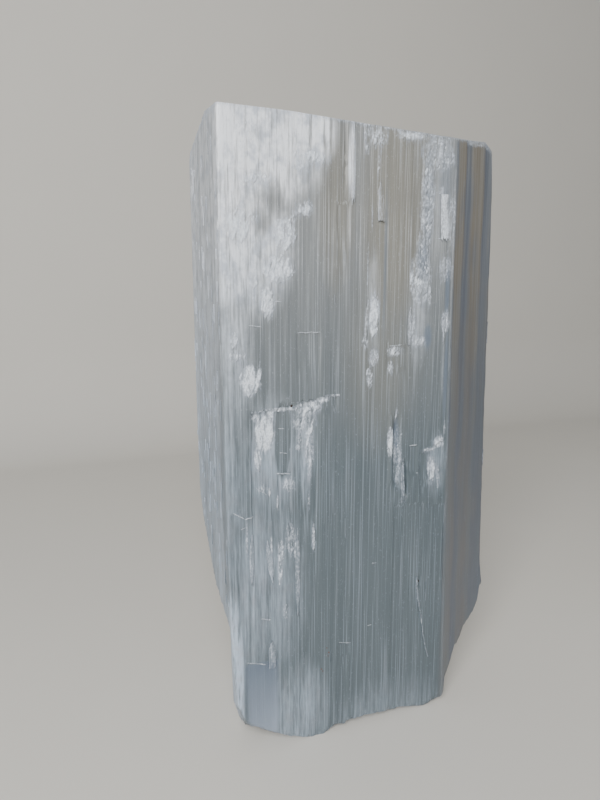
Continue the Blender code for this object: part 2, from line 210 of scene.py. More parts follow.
# Bruises on the front: centre x and z, half width and half height, and strength
Bruise = namedtuple("Bruise", "x z rx rz strength")
BRUISES = [Bruise(*row) for row in (
    # Top left corner: frosted ground with scaly arcs and tufts
    (33.4, 231.0, 8.5, 3.2, 0.9), (30.0, 227.5, 6.0, 1.6, 0.6), (13.5, 223.0, 7.4, 2.6, 0.7),
    (10.6, 238.0, 3.0, 4.0, 0.4), (6.4, 206.5, 5.0, 7.0, 1.3), (11.5, 209.5, 3.0, 3.0, 0.8),
    (23.4, 204.4, 5.4, 6.4, 1.5), (31.6, 213.4, 3.8, 3.4, 0.8), (27.5, 211.0, 2.4, 2.4, 0.6),
    # The tufts running down from it
    (20.9, 192.0, 6.8, 5.6, 1.7), (17.0, 180.5, 3.0, 7.2, 1.7), (12.2, 186.8, 1.6, 4.8, 0.5),
    (4.1, 166.0, 2.0, 4.2, 1.0), (5.3, 160.5, 4.2, 2.3, 1.0), (9.8, 151.6, 4.0, 6.4, 2.0),
    (13.7, 153.5, 0.9, 6.0, 0.7),
    # The granular ledge across the middle, and the patches under it
    (33.0, 140.3, 6.2, 3.0, 1.2), (38.6, 142.8, 3.6, 1.4, 1.2), (22.5, 140.0, 9.5, 1.1, 1.2),
    (43.0, 144.4, 3.4, 0.7, 0.9), (11.6, 138.0, 2.2, 2.4, 0.8), (15.6, 131.2, 4.4, 8.6, 2.2),
    (18.0, 138.3, 1.8, 2.4, 1.6), (14.4, 109.6, 1.4, 2.6, 0.8), (17.2, 108.1, 0.5, 2.2, 1.2),
    (20.6, 103.8, 0.8, 3.6, 1.1), (12.8, 121.4, 1.6, 5.6, 1.6), (31.2, 135.0, 5.0, 5.2, 0.8),
    (30.0, 127.0, 2.0, 5.0, 0.7), (33.6, 124.0, 2.0, 14.0, 1.0), (14.6, 109.4, 2.8, 1.6, 0.7),
    (25.2, 110.2, 3.0, 3.4, 0.8), (20.7, 103.0, 0.6, 4.2, 0.8), (33.4, 102.5, 0.6, 4.4, 0.7),
    (25.6, 88.0, 2.2, 7.4, 1.0), (21.3, 76.0, 1.2, 8.0, 1.0), (17.7, 85.7, 0.5, 6.0, 1.2),
    (35.4, 87.1, 0.9, 6.6, 1.1), (21.7, 84.0, 1.7, 5.0, 1.1), (27.9, 83.4, 1.0, 5.4, 1.1),
    (8.0, 89.4, 0.45, 8.0, 1.0), (9.8, 82.0, 0.7, 7.0, 1.0), (23.4, 57.8, 1.6, 4.2, 0.6),
    # The broken column right of the middle
    (59.6, 240.5, 5.6, 4.2, 0.8), (56.1, 235.8, 1.2, 2.4, 0.8), (60.8, 230.5, 0.8, 5.6, 0.6),
    (61.5, 216.0, 1.1, 6.0, 0.7), (58.6, 211.4, 0.5, 5.0, 0.5), (57.0, 195.0, 0.5, 12.0, 0.5),
    (60.0, 175.0, 2.6, 9.8, 1.7), (56.4, 164.2, 1.8, 2.8, 0.8), (60.4, 158.6, 2.3, 4.2, 1.0),
    (58.8, 150.4, 1.9, 4.4, 0.9), (69.6, 160.6, 4.2, 2.2, 1.0), (68.2, 154.6, 1.6, 3.4, 0.8),
    # The torn pair of grooves and the ledge beside them
    (68.6, 123.5, 1.7, 7.4, 1.9), (71.2, 133.9, 0.6, 3.6, 0.9), (72.6, 118.0, 1.6, 13.0, 0.6),
    (71.9, 111.5, 2.1, 5.6, 0.9), (74.9, 106.8, 0.9, 9.0, 1.0), (75.4, 98.2, 2.0, 1.6, 0.8),
    (91.8, 121.6, 2.8, 3.2, 1.7), (87.2, 118.6, 4.2, 1.1, 1.0), (94.2, 127.5, 0.7, 4.0, 0.8),
    (89.0, 110.4, 2.6, 6.6, 0.9), (92.2, 106.0, 1.0, 5.0, 0.7),
    # The chalky column along the right edge
    (74.1, 241.7, 7.8, 2.0, 1.1), (86.5, 236.0, 8.0, 7.0, 1.2), (82.2, 219.0, 3.5, 21.0, 1.5),
    (81.0, 201.5, 3.5, 6.5, 1.0), (88.6, 222.6, 1.6, 2.2, 0.8), (93.4, 212.0, 2.2, 13.0, 0.7),
    (80.2, 189.0, 5.2, 11.4, 1.5), (84.4, 184.0, 1.4, 7.0, 0.9), (77.6, 170.5, 1.6, 9.0, 0.8),
    (80.4, 164.4, 3.6, 3.0, 1.0), (91.4, 193.0, 3.4, 6.0, 0.6), (92.6, 172.0, 2.4, 5.4, 1.1),
    (91.6, 165.4, 0.5, 2.8, 0.8),
)]

# Ground between the bruises that is frosted through: centre x and z, half sizes and strength
FROST = [Bruise(*row) for row in (
    (12.0, 236.0, 34.0, 30.0, 1.0), (34.0, 240.0, 12.0, 16.0, 1.0), (8.0, 200.0, 24.0, 34.0, 0.85),
    (5.0, 165.0, 10.0, 46.0, 0.5), (2.0, 110.0, 8.0, 90.0, 0.4), (49.8, 231.0, 2.0, 18.0, 0.9),
    (87.0, 215.0, 8.0, 34.0, 0.3), (80.0, 172.0, 7.0, 26.0, 0.4), (18.0, 122.0, 16.0, 32.0, 0.5),
    (32.0, 121.0, 3.8, 24.0, 0.6), (14.0, 68.0, 26.0, 60.0, 0.42), (28.0, 8.0, 20.0, 36.0, 0.48),
    (2.0, 30.0, 5.0, 50.0, 1.1), (70.0, -4.0, 46.0, 30.0, 0.32), (59.5, 180.0, 4.0, 30.0, 0.4),
    (91.0, 112.0, 7.0, 20.0, 0.4),
)]

# Ground that has stayed clear inside the frost
CLEAR_GROUND = [Bruise(*row) for row in (
    (22.7, 128.0, 3.4, 16.0, 1.4), (38.6, 126.0, 4.2, 20.0, 1.2), (15.0, 208.0, 5.0, 6.0, 0.5),
    (19.0, 216.0, 5.0, 9.0, 0.35),
)]

# Narrow places where the crystal looks slate blue; in the torn groove, the first, it is painted
# shade
SLATE_AND_GROOVE_SHADE = [Bruise(*row) for row in (
    (71.7, 121.0, 1.3, 15.0, 1.0), (64.4, 195.0, 0.9, 38.0, 0.55), (93.6, 150.0, 1.2, 24.0, 0.8),
    (84.4, 166.0, 2.4, 6.0, 0.9), (92.8, 184.0, 1.3, 14.0, 0.9), (82.3, 219.0, 3.6, 26.0, 0.45),
    (90.0, 226.0, 5.0, 22.0, 0.4), (80.8, 196.0, 3.4, 12.0, 0.6),
)]

# Clear ground where the crystal looks olive and warm
OLIVE = [Bruise(*row) for row in (
    (68.0, 215.0, 18.0, 60.0, 1.0), (44.0, 215.0, 10.0, 40.0, 0.8), (64.0, 160.0, 22.0, 50.0, 0.5),
)]

# Brown bands of the side facet: from and to along the facet, and strength
BROWN_BANDS = ((0.8, 7.6, 1.0), (13.0, 25.5, 0.85))
BAND_FADE = 2.6

# Parts of the front that carry a crust of crushed fibre: name, then x and z from and to
Crust = namedtuple("Crust", "name x0 x1 z0 z1")
CRUSTS = (
    Crust("bruise_top_left", 0.6, 42.0, 197.0, 244.5),
    Crust("bruise_tufts", 0.6, 29.0, 144.0, 198.6),
    Crust("ledge_crust", 8.5, 49.5, 96.0, 147.0),
    Crust("lower_streaks", 6.5, 38.0, 32.0, 98.0),
    Crust("broken_column", 52.0, 75.5, 144.0, 242.6),
    Crust("groove_crust", 65.0, 79.5, 94.0, 139.0),
    Crust("right_ledge_crust", 81.5, 95.2, 98.0, 133.0),
    Crust("chalk_column", 64.5, 95.0, 159.0, 241.6),
)

# Long splinters: x and z of the top, x and z of the foot, width, how wide top and foot still are,
# lift at top and foot, and how white
Splinter = namedtuple(
    "Splinter", "x_top z_top x_foot z_foot width top_share foot_share lift_top lift_foot chalk")
SPLINTERS = [Splinter(*row) for row in (
    (89.5, 221.4, 90.1, 204.6, 3.2, 0.95, 1.0, 0.7, 1.1, 0.85),
    (61.5, 224.5, 62.0, 210.2, 2.6, 0.2, 1.0, 0.2, 1.1, 0.5),
    (75.9, 178.0, 75.6, 163.0, 1.6, 0.2, 0.6, 0.3, 0.9, 0.6),
    (74.8, 114.0, 75.1, 98.5, 1.2, 0.2, 0.5, 0.5, 0.8, 0.5),
    (50.3, 244.0, 50.1, 217.5, 1.6, 0.2, 1.0, 0.2, 0.7, 0.6),
    (28.6, 92.0, 28.4, 56.0, 1.9, 0.2, 0.3, 0.2, 0.8, 0.52),
    (10.0, 92.0, 9.5, 72.0, 1.9, 0.2, 0.3, 0.3, 0.6, 0.55),
    (16.0, 89.0, 18.0, 71.0, 2.3, 0.2, 0.2, 0.2, 0.8, 0.55),
    (17.6, 46.0, 17.5, 34.2, 2.7, 0.2, 1.0, 0.2, 1.0, 0.5),
    (91.9, 175.5, 91.5, 163.8, 0.9, 0.2, 0.6, 0.5, 0.7, 0.6),
    (12.3, 125.0, 13.1, 117.0, 1.4, 0.2, 0.3, 0.4, 0.7, 0.75),
    (57.3, 181.0, 56.2, 164.0, 1.3, 0.2, 0.4, 0.4, 0.9, 0.6),
)]

# Short white lips where fibres have cracked across: x, z, width and tilt in degrees
Lip = namedtuple("Lip", "x z width tilt")
LIPS = [Lip(*row) for row in (
    (32.9, 168.9, 10.4, 0.5), (21.1, 180.4, 2.8, 2.0), (12.2, 171.6, 5.6, -6.0),
    (22.2, 132.6, 3.0, -8.0), (23.0, 123.0, 3.6, -9.0), (23.0, 114.7, 7.2, -8.4),
    (5.0, 100.0, 4.8, -34.0), (9.0, 98.7, 3.8, 16.0), (6.6, 94.8, 2.4, 24.0),
    (15.1, 55.7, 4.4, -16.0), (11.0, 37.2, 8.6, -17.0), (49.5, 38.3, 6.0, -14.0),
    (79.4, 121.4, 4.2, 4.0), (79.9, 109.1, 5.0, 3.0), (70.0, 163.0, 6.4, 4.0),
    (88.4, 204.6, 3.0, 2.0), (87.6, 221.6, 4.2, -4.0), (14.2, 108.6, 5.2, -38.0),
    (62.6, 72.0, 2.4, 2.0), (61.0, 44.0, 2.0, -2.0),
)]

# The curved white scratch low on the right, as x and z
NEEDLE = (
    (83.5, 62.3), (83.7, 57.5), (84.6, 51.0), (86.1, 44.0), (87.6, 34.5), (89.0, 28.0),
    (90.6, 22.8),
)

# Thickness of the splinters and of the scratch, as the way from their front to their back
PLATE_BACK = Vector((0.0, 0.4, 0.0))

# Loose fibres: from and to, for the height they lie at, their length, width and lean
SLIVER_HEIGHTS = (6.0, 238.0)
SLIVER_LENGTHS = (2.0, 9.0)
SLIVER_WIDTHS = (0.25, 0.55)
SLIVER_LEANS = (-0.05, 0.05)

# Specks of ochre clay in the surface, and a dark grain above the ledge; the dark speck at the
# scratch is painted shade, the shadow in a small pit. As x, z and half size
OCHRE_SPECKS = (
    (41.4, 37.6, 0.25), (42.3, 35.4, 0.35), (42.0, 33.8, 0.22), (39.0, 28.4, 0.3),
    (39.7, 27.4, 0.25),
)
DARK_GRAIN_AND_PIT_SHADE = ((26.4, 141.3, 0.6), (84.4, 60.0, 0.5))

# The camera, in the block's millimetres, tipped 10 degrees down and turned 20 degrees right
CAMERA_AT = (-47.3, -211.0, 183.0)
CAMERA_TILT = math.radians(80.0)
CAMERA_TURN = math.radians(-20.0)
CAMERA_LENS = 27.0
CAMERA_SENSOR = 36.0

# The key light in metres: where it hangs, where it aims, its width and its warm tint
KEY_LIGHT_AT = Vector((-0.45, -0.75, 0.62))
KEY_LIGHT_AIM = Vector((-0.02, 0.0, 0.17))
KEY_LIGHT_SIZE = 0.6
KEY_LIGHT_TINT = (1.0, 0.985, 0.96)
SURROUND_GREY = "D6D6D4"


def linear(hex_colour):
    """An sRGB hex colour as linear red, green, blue and an alpha of one."""
    found = []
    for start in (0, 2, 4):
        value = int(hex_colour[start:start + 2], 16) / 255.0
        found.append(value / 12.92 if value <= 0.04045 else ((value + 0.055) / 1.055) ** 2.4)
    return (*found, 1.0)


def place(x, y, z):
    """A point in the block's millimetres as world metres."""
    return BLOCK_ORIGIN + Vector((x, y, z)) * MM


def smooth(value):
    """Zero below 0, one above 1, and an easy rise between."""
    value = min(max(value, 0.0), 1.0)
    return value * value * (3.0 - 2.0 * value)


def hashed(first, second, third):
    """A fixed random number from 0 to 1 for three whole numbers."""
    return 0.5 + 0.5 * noise.cell(Vector((first, second, third)) * CELL_STEP + CELL_OFFSET)


def wavy(across, along, across_size, along_size, layer=0.0):
    """Perlin noise stretched along the fibres, from about -1 to 1."""
    return noise.noise(Vector((across / across_size, along / along_size, layer)))


def waves(layers, across, along, start=0.0):
    """Layers of noise stretched along the fibres, added to a start."""
    return sum((height * wavy(across, along, *rest) for height, *rest in layers), start)


def plane_height(points):
    """How a plane through three points rises: its height at the origin, along x and along y."""
    a, b, c = (Vector(p) for p in points)
    normal = (b - a).cross(c - a)
    return normal.dot(a) / normal.z, -normal.x / normal.z, -normal.y / normal.z


TOP_HEIGHTS = [plane_height(points) for points in TOP_PLANES]
FOOT_HEIGHTS = [plane_height(points) for points in FOOT_PLANES]


def top_surface(x, y):
    """The height of the top over a place of the plan: the lowest of the planes that cut it."""
    return min(z + along * x + back * y for z, along, back in TOP_HEIGHTS)


def edge_height(edge, at):
    """The height of a broken edge, given as pairs, at a distance along it."""
    for (u0, z0), (u1, z1) in zip(edge, edge[1:]):
        if at <= u1:
            return z0 + (z1 - z0) * max(at - u0, 0.0) / (u1 - u0)
    return edge[-1][1]


def facet_place(x, y):
    """A point of the plan as its distance along the side facet's line and inwards from it."""
    along, inward = math.cos(SIDE_FACET_TURN), math.sin(SIDE_FACET_TURN)
    x -= CORNER_START_X
    return x * along + y * inward, y * along - x * inward


def foot_surface(x, y):
    """The height of the foot over a place of the plan: the highest of the breaks under it."""
    s, depth = facet_place(x, y)
    corner = edge_height(CORNER_EDGE, s) + CORNER_RISE * depth
    hollow = edge_height(HOLLOW_EDGE, x) - HOLLOW_FALL * y
    planes = (z + along * x + back * y for z, along, back in FOOT_HEIGHTS)
    return max(-FOOT_REACH, corner, hollow, *planes)


def plan_corners():
    """The corners of the plan, counter-clockwise from the front left edge."""
    front_right = Vector((FRONT_WIDTH, 0.0))
    facet_way = Vector((math.cos(SIDE_FACET_TURN), math.sin(SIDE_FACET_TURN)))
    return [
        Vector((0.0, 0.0)),
        front_right,
        front_right + SIDE_FACET * facet_way,
        Vector(BACK_RIGHT),
        Vector(BACK_MIDDLE),
        Vector(BACK_LEFT),
        Vector((-LEFT_FLARE, LEFT_FACE)),
    ]


def blot_strength(blots, x, z):
    """The strongest of some elliptical blots at a place: one at a middle, zero at a rim."""
    best = -1.0
    for blot in blots:
        reach = ((x - blot.x) / blot.rx) ** 2 + ((z - blot.z) / blot.rz) ** 2
        if reach < 2.0:
            best = max(best, blot.strength * (1.0 - reach))
    return best


def clear_window(x, z):
    """One in the clear window low on the left of the front, and none outside it."""
    left = 4.4 + 0.05 * (36.0 - z)
    right = 21.6 + 0.9 * wavy(0.0, z, 1.0, 9.0, 27.0)
    return smooth((x - left) / 4.0) * smooth((right - x) / 3.0) * smooth((38.0 - z) / 1.6)


def split_depth(x, z):
    """How deep the split sheets leave the front at a place."""
    depth = 0.0
    for number, s in enumerate(SPLITS):
        if not s.x0 - 1.0 < x < s.x1 + 1.0 or z > max(s.top_left, s.top_right) + 3.0:
            continue
        share = (x - s.x0) / (s.x1 - s.x0)
        top = s.top_left + (s.top_right - s.top_left) * share
        rag = 1.3 * wavy(x, 0.0, 2.3, 1.0, number + 7.3) + 0.6 * wavy(x, 0.0, 0.9, 1.0, number)
        top += s.ragged * rag
        sway = 0.35 * wavy(0.0, z, 1.0, 7.0, number + 3.1)
        sides = smooth((x + sway - s.x0) / 0.6) * smooth((s.x1 - x + sway) / 0.6)
        depth += s.depth * sides * smooth((top - z) / 0.6) * smooth((z - s.bottom) / s.feather)
    return depth


def groove_depth(x, z):
    """How deep a groove cuts at a place on the front, less the lip that stands on its left."""
    depth = 0.0
    for number, g in enumerate(GROOVES):
        if not g.z_foot - 1.0 < z < g.z_top + 1.0:
            continue
        share = (g.z_top - z) / (g.z_top - g.z_foot)
        middle = g.x_top + (g.x_foot - g.x_top) * share
        middle += 0.25 * wavy(z, 0.0, 5.0, 1.0, number + 0.5)
        ends = smooth(share * 4.0) * smooth((1.0 - share) * 5.0)
        if g.z_top > TOP_HEIGHT:
            ends = smooth((1.0 - share) * 2.5)
        off = (x - middle) / g.half_width
        depth += g.depth * ends * smooth(1.0 - abs(off))
        depth -= g.lip * ends * smooth(1.0 - abs(off + 1.5) / 0.7)
    return depth


def bundle_step(along_plan, z, width, layer):
    """Bundles of fibre as flat steps, few of them tall, each as far as a height where it snaps."""
    wobble = 0.25 * width * wavy(along_plan, 0.0, width * 2.0, 1.0, layer)
    bundle = math.floor((along_plan + wobble) / width)
    length = 35.0 + 90.0 * hashed(bundle, 11, layer)
    piece = math.floor((z + 300.0 * hashed(bundle, 5, layer)) / length)
    return (2.0 * hashed(bundle, piece, layer + 2) - 1.0) ** 3


def fibre_relief(along_plan, z):
    """Relief that every face has: slow waves, faint ribs and fine fibres, with a few low steps."""
    steps = STEP_HEIGHT * bundle_step(along_plan, z, STEP_WIDTH, 1)
    return waves(FIBRE_WAVES, along_plan, z) + steps


def front_relief(x, z):
    """How far the front stands out from its plane at a place, without any crust."""
    relief = fibre_relief(x, z) - split_depth(x, z) - groove_depth(x, z)
    frosted = blot_strength(FROST[:3], x, z)
    if frosted > 0.0:
        relief += frosted * waves(FROST_WAVES, x - 0.3 * z, z)
    return relief


Column = namedtuple("Column", "face x y out_x out_y along_plan edge")


def plan_columns(face_spacing, back_spacing):
    """Places round the plan, close on the faces that carry detail and wider at the back."""
    corners = plan_corners()
    ways = [(corners[(i + 1) % 7] - corners[i]).normalized() for i in range(7)]
    outs = [Vector((way.y, -way.x)) for way in ways]
    spacings = {FRONT: face_spacing, SIDE: face_spacing * 1.3, LEFT: face_spacing * 1.3}
    columns = []
    before = 0.0
    for face in range(7):
        length = (corners[(face + 1) % 7] - corners[face]).length
        count = round(length / spacings.get(face, back_spacing))
        for k in range(count):
            u = length * k / count
            point = corners[face] + ways[face] * u
            from_corner = min(u, length - u)
            neighbour = outs[face - 1] if u < length / 2.0 else outs[(face + 1) % 7]
            share = 0.5 * max(0.0, 1.0 - from_corner / CORNER_ROUNDING)
            out = outs[face].lerp(neighbour, share).normalized()
            columns.append(Column(face, point.x, point.y, out.x, out.y, before + u, 2.0 * share))
        before += length
    return columns


def side_rows(row_spacing):
    """Heights of the rows of the sides, drawn together at the ledges."""
    rows = [0.0]
    while rows[-1] < TOP_HEIGHT:
        near = min(abs(rows[-1] - ledge) for ledge in LEDGE_HEIGHTS)
        step = LEDGE_ROW if near < 1.0 else row_spacing
        rows.append(rows[-1] + step)
    rows[-1] = TOP_HEIGHT
    return rows


def row_height(row, top, foot):
    """The height of a row at one column, drawn on near its ends to finish at the top and foot."""
    if row < foot + END_BAND:
        return foot + row * END_BAND / (foot + END_BAND)
    if row > top - END_BAND:
        return top - END_BAND + (row - top + END_BAND) * END_BAND / (TOP_HEIGHT - top + END_BAND)
    return row


def side_point(column, row):
    """A point of the sides: the plan at that height, its relief, and what is broken away."""
    down = 1.0 - row / TOP_HEIGHT
    to_right = min(max(column.x / FRONT_WIDTH, 0.0), 1.0)
    draw_in = FOOT_DRAW_IN + (FOOT_DRAW_IN_RIGHT - FOOT_DRAW_IN) * to_right
    x = column.x * (1.0 + FOOT_WIDENING * down) + draw_in * down ** FOOT_DRAW_POWER
    y = column.y
    top, foot = top_surface(x, y), foot_surface(x, y)
    z = row_height(row, top, foot)
    u = column.along_plan
    if column.face == FRONT:
        relief = front_relief(x, z)
    else:
        share = RELIEF_SHARES.get(column.face, BACK_RELIEF_SHARE)
        relief = FACE_SWELL + share * fibre_relief(u, z)
    relief -= 0.16 * column.edge * (1.0 + wavy(z, u, 6.0, 9.0, 6.0))
    to_rim = (z - foot) / FOOT_RIM
    if to_rim < 1.0:
        jag = waves(FOOT_RIM_WAVES, u, 0.0, 0.5)
        relief -= (1.0 - to_rim) ** 2 * max(jag, 0.1) * (0.8 if column.face == FRONT else 2.4)
    to_top = (top - z) / TOP_RIM
    if to_top < 1.0:
        jag = 0.35 + 0.5 * wavy(u, 3.0, 3.4, 1.0, 2.0)
        relief -= (1.0 - to_top) ** 2 * 0.35 * max(jag, 0.05)
    x += column.out_x * relief
    y += column.out_y * relief
    hinge = WEDGE_HINGE_X + y * math.tan(WEDGE_TURN)
    if x < hinge:
        edge = edge_height(WEDGE_EDGE, y) + 1.6 * wavy(y, 0.0, 4.0, 1.0, 3.0)
        broken = smooth((edge - z) / WEDGE_LEDGE_DROP)
        x += (hinge - x + 0.5 * fibre_relief(y * 1.1, z)) * broken
    return Vector((x, y, z))


def cap_point(rim, share, surface, rough):
    """A point of the top or the foot, on the line from the plan's middle to the rim."""
    x = PLAN_MIDDLE[0] + (rim.x - PLAN_MIDDLE[0]) * share
    y = PLAN_MIDDLE[1] + (rim.y - PLAN_MIDDLE[1]) * share
    return Vector((x, y, surface(x, y) + rough(x, y)))


def sawn_rough(x, y):
    """Saw lines across the top, with a few fibre ends plucked out."""
    lines = 0.03 * wavy(x + 0.4 * y, y, 1.6, 60.0, 2.0) + 0.12 * wavy(x, y, 9.0, 9.0, 3.0)
    plucked = max(0.0, wavy(x, y, 3.0, 3.0, 6.0) - 0.35)
    return lines - 0.7 * plucked - 0.15


def broken_rough(x, y):
    """The broken foot: flat where it stands, splintered where it is clear of the ground."""
    clear = smooth((foot_surface(x, y) + FOOT_REACH) / 2.0)
    broken = clear * (waves(BROKEN_WAVES, x, y) + 0.5)
    return broken + (1.0 - clear) * 0.15 * max(0.0, wavy(x, y, 4.0, 4.0, 4.0))


def cap_rings(rim, shares, surface, rough):
    """The rings of the top or the foot inside its rim."""
    return [[cap_point(point, share, surface, rough) for point in rim] for share in shares]


def block_rings(columns, rows):
    """All rings of points from the middle of the foot, up the sides, to the middle of the top."""
    sides = [[side_point(column, row) for column in columns] for row in rows]
    foot = cap_rings(sides[0], FOOT_SHARES, foot_surface, broken_rough)
    top = cap_rings(sides[-1], TOP_SHARES, top_surface, sawn_rough)
    return foot + sides + top


def vert_above(vert, face):
    """The corner of an extruded face that an edge joins to a corner of the face it grew from."""
    ends = (edge.other_vert(vert) for edge in vert.link_edges)
    return next(end for end in ends if end in face.verts)


def verts_of(grown):
    """The new vertices among what an extrusion made."""
    return [made for made in grown["geom"] if isinstance(made, bmesh.types.BMVert)]


def lofted(rings):
    """A closed mesh grown ring by ring from a disc, by extruding its lid to each ring of points."""
    bm = bmesh.new()
    bmesh.ops.create_circle(bm, segments=len(rings[0]), radius=1.0, cap_ends=True)
    lid = bm.faces[:][0]
    ring = [loop.vert for loop in lid.loops]
    for vert, point in zip(ring, rings[0]):
        vert.co = point
    for number, points in enumerate(rings[1:]):
        below = lid
        grown = bmesh.ops.extrude_face_region(bm, geom=[below])
        lid = next(g for g in grown["geom"] if isinstance(g, bmesh.types.BMFace))
        if number:
            bmesh.ops.delete(bm, geom=[below], context="FACES_ONLY")
        ring = [vert_above(vert, lid) for vert in ring]
        for vert, point in zip(ring, points):
            vert.co = point
    bmesh.ops.recalc_face_normals(bm, faces=bm.faces)
    return bm


def piece_from(bm, name, material):
    """Makes an object at the origin from a mesh in block millimetres, riding on the part."""
    for vert in bm.verts:
        vert.co = place(*vert.co)
    mesh = bpy.data.meshes.new(name)
    bm.to_mesh(mesh)
    bm.free()
    mesh.shade_smooth()
    mesh.set_sharp_from_angle(angle=SHARP_ANGLE)
    mesh.materials.append(material)
    piece = bpy.data.objects.new(name, mesh)
    bpy.context.scene.collection.objects.link(piece)
    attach(piece, "root")
    return piece


def paint_marks(piece, chalk_of):
    """Stores all the marks that the material reads, chalk from the piece's own function."""
    points = [(vert.co - BLOCK_ORIGIN) / MM for vert in piece.data.vertices]
    marks = (chalk_of, frost_at, olive_at, facet_at, brown_at, clear_at)
    for name, mark_of in zip(SURFACE_MARKS, marks):
        attribute = piece.data.attributes.new(name, "FLOAT", "POINT")
        attribute.data.foreach_set("value", [mark_of(point) for point in points])


def on_left_face(p):
    """Whether a point lies on the left face or in the wedge broken from it."""
    return p.x < LEFT_SKIN + LEFT_SKIN_LEAN * p.y


def chalk_and_highlight_at(p):
    """How white a point is, from 0 to 1: bruised chalk, and painted highlights on the left face."""
    if p.y < 4.0 and p.z < top_surface(p.x, p.y) - 0.3:
        return smooth(0.34 + 0.45 * blot_strength(BRUISES, p.x, p.z))
    if p.z > top_surface(p.x, p.y) - 2.5:
        return 0.62 + 0.12 * wavy(p.x, p.y, 14.0, 14.0, 33.0)
    # Pale lens-shaped streaks on the left face: painted highlights
    if on_left_face(p):
        return 0.5 * smooth((wavy(p.y + 0.06 * p.z, p.z, 2.4, 17.0, 31.0) - 0.28) / 0.2)
    return 0.0


def frost_at(p):
    """How frosted through the crystal is at a point, from 0 to 1."""
    if p.y < 6.0 and p.x < 97.0:
        clear = max(0.0, blot_strength(CLEAR_GROUND, p.x, p.z))
        return smooth(max(0.0, blot_strength(FROST, p.x, p.z) - clear))
    if on_left_face(p) and p.y < 56.0:
        return 0.65 + 0.3 * smooth((p.y - 42.0) / 8.0)
    return 0.0


def olive_at(p):
    """How olive the clear crystal looks at a point, from 0 to 1."""
    return smooth(max(0.0, blot_strength(OLIVE, p.x, p.z))) if p.y < 6.0 else 0.0


def facet_at(p):
    """One on the side facet and behind it, where the crystal is darker."""
    if p.z > top_surface(p.x, p.y) - 1.0:
        return 0.25
    past_edge = p.x - FRONT_WIDTH * (1.0 + FOOT_WIDENING * (1.0 - p.z / TOP_HEIGHT))
    return smooth(past_edge / 2.6 + 0.5)


def brown_at(p):
    """How brown the side facet's bands are at a point; between them they are slate blue."""
    s = facet_place(p.x, p.y)[0] + 2.6 * wavy(0.0, p.z, 1.0, 30.0, 21.0)
    brown = 0.0
    for begin, end, strength in BROWN_BANDS:
        begun = strength * smooth((s - begin) / BAND_FADE + 0.5)
        brown = max(brown, begun * smooth((end - s) / BAND_FADE + 0.5))
    brown += 0.5 * wavy(s, p.z, 2.2, 45.0, 22.0) + 0.7 * wavy(s, p.z, 6.0, 19.0, 23.0)
    fade = smooth((p.z - 120.0) / 100.0)
    even = 0.12 + 0.4 * fade
    return even + (min(max(brown, 0.0), 1.0) - even) * (0.35 + 0.65 * fade)


def clear_at(p):
    """How blue and clear it looks: most in the window and slate ground, least on the left face."""
    if on_left_face(p) and 1.5 < p.y < 56.0:
        return 0.1 + 0.2 * smooth((p.z - 30.0) / 90.0)
    if p.y > 4.0:
        return 0.0
    # In the torn groove the slate blue is painted shade
    return max(clear_window(p.x, p.z), 0.8 * smooth(1.3 * blot_strength(SLATE_AND_GROOVE_SHADE, p.x, p.z)))


def node(tree, kind, inputs=(), output=0, **settings):
    """Adds a node with its settings and links, and gives one of its outputs.

    Inputs are values or sockets to link, in the node's own order or by name or number.
    """
    made = tree.nodes.new(kind)
    for name, value in settings.items():
        setattr(made, name, value)
    keyed = inputs if isinstance(inputs, dict) else dict(enumerate(inputs))
    for key, value in keyed.items():
        if isinstance(value, bpy.types.NodeSocket):
            tree.links.new(value, made.inputs[key])
        else:
            made.inputs[key].default_value = value
    return made.outputs[output]


def new_material(name):
    """A material with its node tree, its shader and a way to reach places on the piece."""
    material = bpy.data.materials.new(name)
    material.use_nodes = True
    tree = material.node_tree
    coords = node(tree, "ShaderNodeTexCoord", output="Object")
    return material, tree, tree.nodes["Principled BSDF"], coords


def streaks(tree, coords, width, length, detail):
    """Noise drawn out along the fibres, from a streak's width and length in millimetres."""
    scale = (1.0 / (width * MM), 1.0 / (width * MM), 1.0 / (length * MM))
    drawn_out = node(tree, "ShaderNodeMapping", {"Vector": coords, "Scale": scale})
    inputs = {"Vector": drawn_out, "Scale": 1.0, "Detail": detail, "Roughness": 0.6}
    return node(tree, "ShaderNodeTexNoise", inputs, "Fac")


